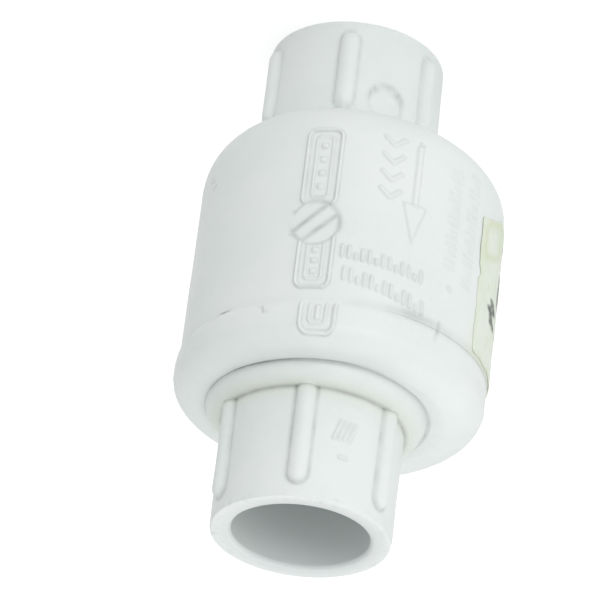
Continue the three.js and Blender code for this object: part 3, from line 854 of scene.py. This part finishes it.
def inner_pvc():
    """White PVC that has been in water, with patches of lime scale."""
    n = Nodes("inner_pvc")
    patches = n.ramp(n.noise(0.15, 4), 0.35, 0.65)
    tone = n.mix(patches, rgb(0.72, 0.745, 0.73), rgb(0.79, 0.80, 0.785))
    scale = n.ramp(n.noise(0.5, 5, seed=3.0), 0.58, 0.72)
    tone = n.mix(n.times(scale, 0.3), tone, rgb(0.62, 0.6, 0.52))
    return n.surface(
        Base_Color=tone,
        Roughness=n.ramp(n.noise(0.7, 4), 0.3, 0.7, 0.38, 0.54),
        Normal=n.bump(n.noise(2.4, 3), 0.018, 0.5),
    )


def black_rubber():
    """Dull black rubber with a grey bloom."""
    n = Nodes("black_rubber")
    bloom = n.ramp(n.noise(0.4, 5), 0.4, 0.7)
    return n.surface(
        Base_Color=n.mix(bloom, rgb(0.012, 0.012, 0.013), rgb(0.045, 0.045, 0.044)),
        Roughness=n.ramp(n.noise(0.9, 4, seed=2.0), 0.3, 0.7, 0.55, 0.78),
        Specular_IOR_Level=0.4,
        Normal=n.bump(n.noise(4.0, 4), 0.02, 0.6),
    )


def stainless_steel():
    """Turned steel with fine tool marks."""
    n = Nodes("stainless_steel")
    patches = n.ramp(n.noise(0.5, 4), 0.35, 0.65)
    tone = n.mix(patches, rgb(0.55, 0.56, 0.57), rgb(0.66, 0.665, 0.67))
    marks = n.noise(3.2, 4, stretch=(1, 1, 0.08), seed=5.0)
    return n.surface(
        Base_Color=tone,
        Metallic=1.0,
        Roughness=n.ramp(marks, 0.3, 0.7, 0.2, 0.38),
        Normal=n.bump(marks, 0.006, 0.5),
    )


PVC = white_pvc()
INNER = inner_pvc()
STEEL = stainless_steel()
RUBBER = black_rubber()
LABEL = label_paper()


def placed(obj, body, node, material):
    """Gives a piece its material, lets it ride a body and stand in for a CAD part."""
    obj.data.materials.clear()
    obj.data.materials.append(material)
    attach(obj, body)
    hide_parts(node)
    return obj


placed(
    skin_mesh("moulded_body", body_path(), SKIN_ANGLES, body_surface),
    "housing", "valve_body", PVC,
)
placed(
    skin_mesh("moulded_cap", cap_path(), SKIN_ANGLES, cap_surface),
    "housing", "outlet_cap", PVC,
)


# ---- label ----------------------------------------------------------------------------------

LABEL_HALF_W = 13.9
LABEL_Z0 = 28.6
LABEL_Z1 = 56.3
LABEL_SLANT = 3.6             # how much shorter the sheet is along its edge nearest -Y
LABEL_CORNER_LOW = 0.9
LABEL_CORNER_HIGH = 1.1
LABEL_THICK = 0.1
LABEL_GAP = 0.05
LABEL_COLUMNS = 120
LABEL_ROWS = 116


def label_ink(u, z):
    """Worn generic print: unequal lines, a smudge and a stripe, with nothing to read."""
    ink = 0 * u
    for k in range(7):
        half = 5.6 - 0.8 * (k * 5 % 3)
        bar = box_distance(u - 2.0 + 0.5 * (k % 2), z - 32.5 - 3.1 * k, half, 0.45, 0.1)
        ink = np.maximum(ink, 0.45 * smooth(0.5 - bar / 0.35))
    for k in range(5):
        middle = 7.4 - 0.9 * math.sin(k * 2.1)
        size = 0.5 + 0.12 * (k * 2 % 3)
        spot = np.hypot(0.4 * (u + middle), z - 44.6 - 0.85 * k) - size
        ink = np.maximum(ink, smooth(0.5 - spot / 0.5))
    stripe = box_distance(u + 3.0, z - 40.4, 1.3, 2.9, 0.2)
    return np.maximum(ink, 0.8 * smooth(0.5 - stripe / 0.4))


def label_places(across, along):
    """Places on the wrapped sheet, from -1 to 1 each way, and their distance from its border."""
    half_z = (LABEL_Z1 - LABEL_Z0) / 2
    z = along * half_z
    # the edge nearest -Y is nicked and wavy, and leans
    nick = 0.8 * crease(z + 2.2, 1.0) + 0.3 * crease(z - 4.5, 0.6)
    wander = 0.07 * np.sin(z * 1.1 + 0.4) + 0.04 * np.sin(z * 3.9 + 2.0)
    lean = 0.5 * smooth((z + half_z) / (2 * half_z)) - 0.5
    edge_inset = np.where(across < 0, nick + wander + 0.3 + lean, 0.5 * wander + 0.1)
    # the corners are rounded
    corner = np.where(z < 0, LABEL_CORNER_LOW, LABEL_CORNER_HIGH)
    into_corner = np.maximum(np.abs(z) - half_z + corner, 0)
    corner_inset = corner - np.sqrt(np.maximum(corner ** 2 - into_corner ** 2, 0))
    u = across * (LABEL_HALF_W - edge_inset - corner_inset)
    border = np.minimum(LABEL_HALF_W - edge_inset - np.abs(u), half_z - np.abs(z))
    # the lower edge slants up towards the edge nearest -Y
    cut = LABEL_SLANT * smooth((-u - 4) / 9.5)
    z = LABEL_Z1 - (half_z - z) * (1 - cut / (2 * half_z))
    z = z + 0.12 * np.sin(u * 1.3) * smooth((np.abs(along) - 0.9) * 10)
    return u, z, border


def label_sheet():
    """A thin sheet wrapped on the barrel, with a nicked edge, creases and one lifting corner."""
    across = np.linspace(-1, 1, LABEL_COLUMNS)[None, :] + np.zeros((LABEL_ROWS, 1))
    along = np.linspace(-1, 1, LABEL_ROWS)[:, None] + np.zeros((1, LABEL_COLUMNS))
    u, z, border = label_places(across, along)
    wrinkle = 0.022 * (np.sin(u * 0.9 + z * 0.35) + np.sin(z * 0.8 - u * 0.5 + 1.0)) + 0.03
    wrinkle = wrinkle + 0.1 * crease(z - 40.0 - 0.12 * u, 0.5) * smooth((-u - 3) / 6)
    lift = 0.28 * smooth((u - 10.5) / 3) * smooth((LABEL_Z0 + 4.5 - z) / 4)
    theta = math.pi / 2 + u / (BARREL_R + LABEL_GAP)
    low = BARREL_R + LABEL_GAP + wrinkle * smooth(border / 0.6) + lift
    high = low + LABEL_THICK * (0.35 + 0.65 * smooth(border / 0.3))
    sides = []
    for r in (high, low):
        side = np.stack([BARREL_X - r * np.sin(theta), -r * np.cos(theta), z], axis=-1)
        sides.append(side.reshape(-1, 3))
    # the top and the underside share their outline, which the walls join
    count = LABEL_ROWS * LABEL_COLUMNS
    top = grid_faces(LABEL_ROWS, LABEL_COLUMNS, False, False)
    under = [[count + i for i in reversed(face)] for face in top]
    index = np.arange(count).reshape(LABEL_ROWS, LABEL_COLUMNS)
    outline = [*index[0, :-1], *index[:-1, -1], *index[-1, :0:-1], *index[:0:-1, 0]]
    walls = [
        [int(b), int(a), int(a) + count, int(b) + count]
        for a, b in zip(outline, outline[1:] + outline[:1])
    ]
    ink = label_ink(u, z).reshape(-1)
    stain_ring = np.abs(box_distance(u + 9.4, z - 34.5 + 0.5 * (u + 9.4), 3.4, 3.0, 1.4))
    edge = np.maximum(0.6 * crease(border, 0.4), crease(stain_ring, 0.8)).reshape(-1)
    return finished("label_sheet", np.concatenate(sides), top + under + walls, {
        "ink": np.concatenate([ink, 0 * ink]),
        "edge": np.concatenate([edge, edge]),
    })


placed(label_sheet(), "housing", "paper_label", LABEL)


# ---- inside the valve -----------------------------------------------------------------------

HINGE = sum(box_mm("hinge_pin")) / 2
FIT = 0.1
FINE_STEP = 0.5
PIECE_BEVEL = 0.22
PIN_CHAMFER = 0.3
CORD_FLASH = 0.03
DISC_PLATE = 2.4
DISC_GROOVE = (7.1, 9.7)
DISC_GROOVE_DEPTH = 0.35
BOSS_R = 3.0
SCREW_HOLE_R = 1.6
SEAL_HOLE_R = 3.5
SEAL_STEP_R = 6.3
SEAL_STEP_GAP = 0.02
RETAINER_THICK = 0.8
RETAINER_NECK_R = 3.4
HEAD_RECESS_R = 2.9
HEAD_RECESS_DEPTH = 1.5
SCREW_HEAD = 1.7
SHANK_R = 1.5
THREAD_PITCH = 0.5
THREAD_DEPTH = 0.26
SLOT_HALF_W = 0.35
SLOT_DEPTH = 0.6
NUT_CONE = 1.73               # slope of the chamfer cone of the nut


def fine_step(z, skin):
    """The same step everywhere."""
    return FINE_STEP


def ring_piece(name, points, x, sides=144, shape=None):
    """A closed turned piece from (radius, z, corner size) points. shape may alter its radii."""
    path = refined(eased([(r, z, x, ease, 0) for r, z, ease in points]), fine_step)
    theta = np.linspace(0, 2 * np.pi, sides, endpoint=False)[None, :]
    r, z = (path[:, k][:, None] + 0 * theta for k in range(2))
    if shape is not None:
        r, z = shape(theta + 0 * r, r, z)
    places = np.stack([x + r * np.cos(theta), r * np.sin(theta), z], axis=-1)
    return creased(finished(name, places, grid_faces(*r.shape, True, True)))


def creased(obj, degrees=38):
    """Flat faces keep their crisp edges where they meet at more than this angle."""
    obj.data.set_sharp_from_angle(angle=math.radians(degrees))
    return obj


def softened(name, node, width):
    """A copy of a CAD part with its flat faces joined and its edges rounded."""
    mesh = frame["nodes"][node].data.copy()
    mesh.name = name
    work = bmesh.new()
    work.from_mesh(mesh)
    bmesh.ops.remove_doubles(work, verts=work.verts, dist=0.004 * MM)
    bmesh.ops.dissolve_limit(work, angle_limit=math.radians(1), verts=work.verts, edges=work.edges)
    paired = [e for e in work.edges if len(e.link_faces) == 2]
    edges = [e for e in paired if e.calc_face_angle() > math.radians(30)]
    bmesh.ops.bevel(
        work, geom=edges, offset=width * MM, offset_type="OFFSET", segments=3, profile=0.5,
        affect="EDGES", clamp_overlap=True,
    )
    bmesh.ops.triangulate(work, faces=[f for f in work.faces if len(f.verts) > 4])
    work.to_mesh(mesh)
    work.free()
    mesh.polygons.foreach_set("use_smooth", np.ones(len(mesh.polygons), bool))
    obj = bpy.data.objects.new(name, mesh)
    bpy.context.scene.collection.objects.link(obj)
    return creased(obj, 32)


def o_ring():
    """A round cord ring with a thin line of flash."""
    low, high = box_mm("seat_o_ring")
    cord = (high[2] - low[2]) / 2
    centre = (high[1] - low[1]) / 2 - cord
    turn = np.linspace(0, 2 * np.pi, 20, endpoint=False)[:, None]
    theta = np.linspace(0, 2 * np.pi, 160, endpoint=False)[None, :]
    flash = cord * (1 + CORD_FLASH * crease(np.sin(turn), 0.12))
    r = centre + flash * np.cos(turn) + 0 * theta
    z = (low[2] + high[2]) / 2 + cord * np.sin(turn) + 0 * theta
    places = np.stack([PIPE_X + r * np.cos(theta), r * np.sin(theta), z], axis=-1)
    return finished("seat_seal_cord", places, grid_faces(20, 160, True, True))


def lathe(points, sides, across=None):
    """Places and faces of a solid turned piece. Its points start and end on the axis."""
    theta = np.linspace(0, 2 * np.pi, sides, endpoint=False)[None, :]
    r, z = (np.array([p[k] for p in points[1:-1]])[:, None] + 0 * theta for k in range(2))
    if across is not None:
        r = across(theta + 0 * r, r, z)
    rows = len(points) - 2
    body = np.stack([r * np.cos(theta), r * np.sin(theta), z], axis=-1).reshape(-1, 3)
    places = np.concatenate([body, [(0, 0, points[0][1]), (0, 0, points[-1][1])]])
    faces = grid_faces(rows, sides, False, True)
    start, end = rows * sides, rows * sides + 1
    for k in range(sides):
        after = (k + 1) % sides
        faces.append([start, after, k])
        faces.append([end, (rows - 1) * sides + k, (rows - 1) * sides + after])
    return places, faces


def hinge_pin():
    """A plain pin with chamfered ends, lying along Y."""
    low, high = box_mm("hinge_pin")
    half = (high[1] - low[1]) / 2
    radius = (high[2] - low[2]) / 2
    points = [(0, -half), (radius - PIN_CHAMFER, -half), (radius, -half + PIN_CHAMFER)]
    points += [(radius, z) for z in np.linspace(-half + 0.5, half - 0.5, 30)]
    points += [(radius, half - PIN_CHAMFER), (radius - PIN_CHAMFER, half), (0, half)]
    places, faces = lathe(points, 48)
    x, y, z = places.T
    turned = np.stack([x + HINGE[0], z, y + HINGE[2]], axis=-1)
    return creased(finished("pivot_pin", turned, faces))


def disc():
    """The flap: a plate with a rim round the seal, a ring groove on top and a boss."""
    low, high = box_mm("flapper_disc")
    seal_low, seal_high = box_mm("disc_seal")
    outer = (high[1] - low[1]) / 2
    inner = (seal_high[1] - seal_low[1]) / 2 + FIT
    under = seal_high[2]
    top = under + DISC_PLATE
    groove_near, groove_far = DISC_GROOVE
    return ring_piece("disc_moulding", [
        (SCREW_HOLE_R, under, 0.15),
        (inner, under, 0.15),
        (inner, low[2], 0.12),
        (outer, low[2], 0.3),
        (outer, top, 0.6),
        (groove_far + 0.3, top, 0.2),
        (groove_far, top - DISC_GROOVE_DEPTH, 0.2),
        (groove_near + 0.3, top - DISC_GROOVE_DEPTH, 0.2),
        (groove_near, top, 0.2),
        (BOSS_R, top, 0.2),
        (BOSS_R, high[2], 0.2),
        (SCREW_HOLE_R, high[2], 0.15),
    ], PIPE_X)


def seal():
    """A flat rubber ring, stepped where the retainer clamps it."""
    low, high = box_mm("disc_seal")
    outer = (high[1] - low[1]) / 2
    step = low[2] + RETAINER_THICK + SEAL_STEP_GAP
    return ring_piece("seal_ring", [
        (SEAL_HOLE_R, step, 0.1),
        (SEAL_STEP_R, step, 0.1),
        (SEAL_STEP_R, low[2], 0.1),
        (outer, low[2], 0.25),
        (outer, high[2], 0.2),
        (SEAL_HOLE_R, high[2], 0.1),
    ], PIPE_X)


def retainer():
    """A plate with a neck through the seal and a recess for the screw's head."""
    low, high = box_mm("seal_retainer")
    outer = (high[1] - low[1]) / 2
    plate = low[2] + RETAINER_THICK
    head = low[2] + HEAD_RECESS_DEPTH
    return ring_piece("retainer_plate", [
        (HEAD_RECESS_R, low[2], 0.1),
        (outer, low[2], 0.2),
        (outer, plate, 0.2),
        (RETAINER_NECK_R, plate, 0.08),
        (RETAINER_NECK_R, high[2], 0.08),
        (SCREW_HOLE_R, high[2], 0.08),
        (SCREW_HOLE_R, head, 0.08),
        (HEAD_RECESS_R, head, 0.08),
    ], PIPE_X)


def screw():
    """A slotted pan-head screw with a real thread on its shank."""
    low, high = box_mm("disc_screw")
    base, tip = low[2], high[2]
    top = base + SCREW_HEAD
    head_r = (high[1] - low[1]) / 2
    points = [(0, base), (1.2, base + 0.02), (head_r - 0.5, base + 0.1)]
    points += [(head_r - 0.15, base + 0.3), (head_r, base + 0.65), (head_r, top - 0.1)]
    points += [(head_r - 0.1, top), (SHANK_R, top)]
    points += [(SHANK_R, z) for z in np.arange(top + 0.06, tip - 0.3, THREAD_PITCH / 8)]
    points += [(SHANK_R - 0.1, tip - 0.15), (SHANK_R - 0.35, tip), (0, tip)]

    def thread(theta, r, z):
        phase = (z / THREAD_PITCH - theta / (2 * np.pi)) % 1
        depth = THREAD_DEPTH * (1 - np.abs(2 * phase - 1))
        fade = smooth((z - top - 0.8) / 0.6) * smooth((tip - z) / 0.4)
        return r - np.where(r < SHANK_R + 0.01, depth * fade, 0)

    places, faces = lathe(points, 64, thread)
    obj = finished("slotted_screw", places + np.array([PIPE_X, 0, 0]), faces)
    slot = finished("slot_tool", [
        (PIPE_X + x * 4, y * SLOT_HALF_W, base - 1 + z * (1 + SLOT_DEPTH))
        for x in (-1, 1) for y in (-1, 1) for z in (0, 1)
    ], [[0, 1, 3, 2], [4, 6, 7, 5], [0, 4, 5, 1], [2, 3, 7, 6], [0, 2, 6, 4], [1, 5, 7, 3]])
    cut = obj.modifiers.new("slot", "BOOLEAN")
    cut.operation = "DIFFERENCE"
    cut.object = slot
    cut.solver = "EXACT"
    graph = bpy.context.evaluated_depsgraph_get()
    mesh = bpy.data.meshes.new_from_object(obj.evaluated_get(graph))
    obj.modifiers.clear()
    obj.data = mesh
    bpy.data.objects.remove(slot)
    return creased(obj)


def washer():
    """A flat washer with eased edges."""
    low, high = box_mm("disc_washer")
    outer = (high[1] - low[1]) / 2
    return ring_piece("flat_washer", [
        (SCREW_HOLE_R, low[2], 0.06),
        (outer, low[2], 0.12),
        (outer, high[2], 0.12),
        (SCREW_HOLE_R, high[2], 0.06),
    ], PIPE_X)


def nut():
    """A hexagon nut whose corners are chamfered by a cone on both faces."""
    low, high = box_mm("disc_nut")
    corner = (high[0] - low[0]) / 2
    flats = corner * math.cos(math.pi / 6)
    middle = (low[2] + high[2]) / 2
    half = (high[2] - low[2]) / 2

    def hexagon(theta, r, z):
        side = flats / np.cos((theta + np.pi / 6) % (np.pi / 3) - np.pi / 6)
        cone = flats - 0.05 + (half - np.abs(z - middle)) * NUT_CONE
        outside = np.minimum(np.minimum(side, cone), r * side / corner)
        return np.where(r > SCREW_HOLE_R + 0.1, outside, r), z

    points = [(SCREW_HOLE_R, low[2], 0.2), (corner, low[2], 0)]
    points += [(corner, z, 0) for z in np.linspace(low[2] + 0.08, high[2] - 0.08, 16)]
    points += [(corner, high[2], 0), (SCREW_HOLE_R, high[2], 0.2)]
    return ring_piece("hex_nut", points, PIPE_X, 144, hexagon)


placed(
    softened("seat_moulding", "seat_insert", PIECE_BEVEL),
    "housing", "seat_insert", INNER,
)
placed(o_ring(), "housing", "seat_o_ring", RUBBER)
placed(hinge_pin(), "housing", "hinge_pin", STEEL)
placed(
    softened("lever_moulding", "hinge_arm", PIECE_BEVEL),
    "arm", "hinge_arm", INNER,
)
placed(disc(), "flapper", "flapper_disc", INNER)
placed(seal(), "flapper", "disc_seal", RUBBER)
placed(retainer(), "flapper", "seal_retainer", STEEL)
placed(screw(), "flapper", "disc_screw", STEEL)
placed(washer(), "flapper", "disc_washer", STEEL)
placed(nut(), "flapper", "disc_nut", STEEL)


# ---- floor, light and camera ----------------------------------------------------------------

FLOOR_HALF = 30000.0
FLOOR_GLOW_SEEN = 0.64        # what the camera sees
FLOOR_GLOW_CAST = 0.39        # what the valve is lit by
FLOOR_FADE = (0.95, 1.4)      # metres from the camera over which the floor turns plain white
ROOM_LIGHT = 0.615
LIGHT_AIM = Vector((0, 0, 0.04))


def floor():
    """A wide pale floor that looks plain white further away."""
    corners = ((-1, -1), (1, -1), (1, 1), (-1, 1))
    places = [(x * FLOOR_HALF, y * FLOOR_HALF, 0) for x, y in corners]
    obj = finished("floor", places, [[0, 1, 2, 3]])
    n = Nodes("floor_white")
    path = n.add("ShaderNodeLightPath")
    far = n.ramp(path.outputs["Ray Length"], *FLOOR_FADE, FLOOR_GLOW_SEEN, 1.0)
    n.surface(
        Base_Color=rgb(0.5, 0.5, 0.5),
        Roughness=0.9,
        Specular_IOR_Level=0.0,
        Emission_Color=rgb(1, 1, 1),
        Emission_Strength=n.ramp(path.outputs["Is Camera Ray"], 0, 1, FLOOR_GLOW_CAST, far),
    )
    obj.data.materials.append(n.material)


def area_light(name, place, size, power):
    """A round soft light, in metres and watts, that points at the middle of the valve."""
    data = bpy.data.lights.new(name, "AREA")
    data.shape = "DISK"
    data.size = size
    data.energy = power
    obj = bpy.data.objects.new(name, data)
    obj.location = place
    obj.rotation_mode = "QUATERNION"
    obj.rotation_quaternion = (LIGHT_AIM - Vector(place)).to_track_quat("-Z", "Y")
    bpy.context.scene.collection.objects.link(obj)


def world_light(strength):
    """An even white room, which the camera sees as bright as the far floor."""
    world = bpy.data.worlds.new("studio")
    world.use_nodes = True
    tree = world.node_tree
    background = tree.nodes["Background"]
    background.inputs["Color"].default_value = rgb(1, 1, 1)
    path = tree.nodes.new("ShaderNodeLightPath")
    seen = tree.nodes.new("ShaderNodeMapRange")
    seen.inputs["To Min"].default_value = strength
    seen.inputs["To Max"].default_value = 1.0
    tree.links.new(path.outputs["Is Camera Ray"], seen.inputs["Value"])
    tree.links.new(seen.outputs[0], background.inputs["Strength"])
    bpy.context.scene.world = world


CAMERA_RISE_DEG = 29.0        # above the floor
CAMERA_ROLL_DEG = 187.19      # the outlet end is at the bottom of the picture
CAMERA_DISTANCE = 0.7212
CAMERA_ASIDE = -0.0046        # the aim passes beside the pipe's axis
CAMERA_AIM_DEPTH = 42.1       # height of the aim below the outlet end
FOCAL_RATIO = 7.6014          # focal length over sensor width
SENSOR = 36.0


def camera():
    """A long lens that looks down at the outlet end, rolled so the outlet is at the bottom."""
    rise = math.radians(CAMERA_RISE_DEG)
    roll = math.radians(CAMERA_ROLL_DEG)
    back = Vector((0, -math.cos(rise), math.sin(rise)))
    right = Vector((1, 0, 0))
    up = back.cross(right)
    turned_right = right * math.cos(roll) + up * math.sin(roll)
    turned_up = up * math.cos(roll) - right * math.sin(roll)
    aim = Vector((PIPE_X, 0, LENGTH - CAMERA_AIM_DEPTH)) * MM + turned_right * CAMERA_ASIDE
    data = bpy.data.cameras.new("camera")
    data.sensor_width = SENSOR
    data.lens = SENSOR * FOCAL_RATIO
    data.clip_start = 0.01
    data.clip_end = 100
    obj = bpy.data.objects.new("camera", data)
    turn = Matrix((turned_right, turned_up, back)).transposed()
    obj.matrix_world = Matrix.Translation(aim + back * CAMERA_DISTANCE) @ turn.to_4x4()
    bpy.context.scene.collection.objects.link(obj)
    bpy.context.scene.camera = obj


floor()
world_light(ROOM_LIGHT)
area_light("side", (-0.70, -0.50, 0.28), 0.7, 1.0)
area_light("low_front", (-0.20, -0.88, 0.12), 0.5, 2.3)
area_light("top", (-0.05, -0.10, 0.95), 0.9, 1.1)
area_light("top_back", (-0.10, 0.45, 0.80), 0.9, 2.7)
camera()
bpy.context.scene.view_settings.view_transform = "Standard"
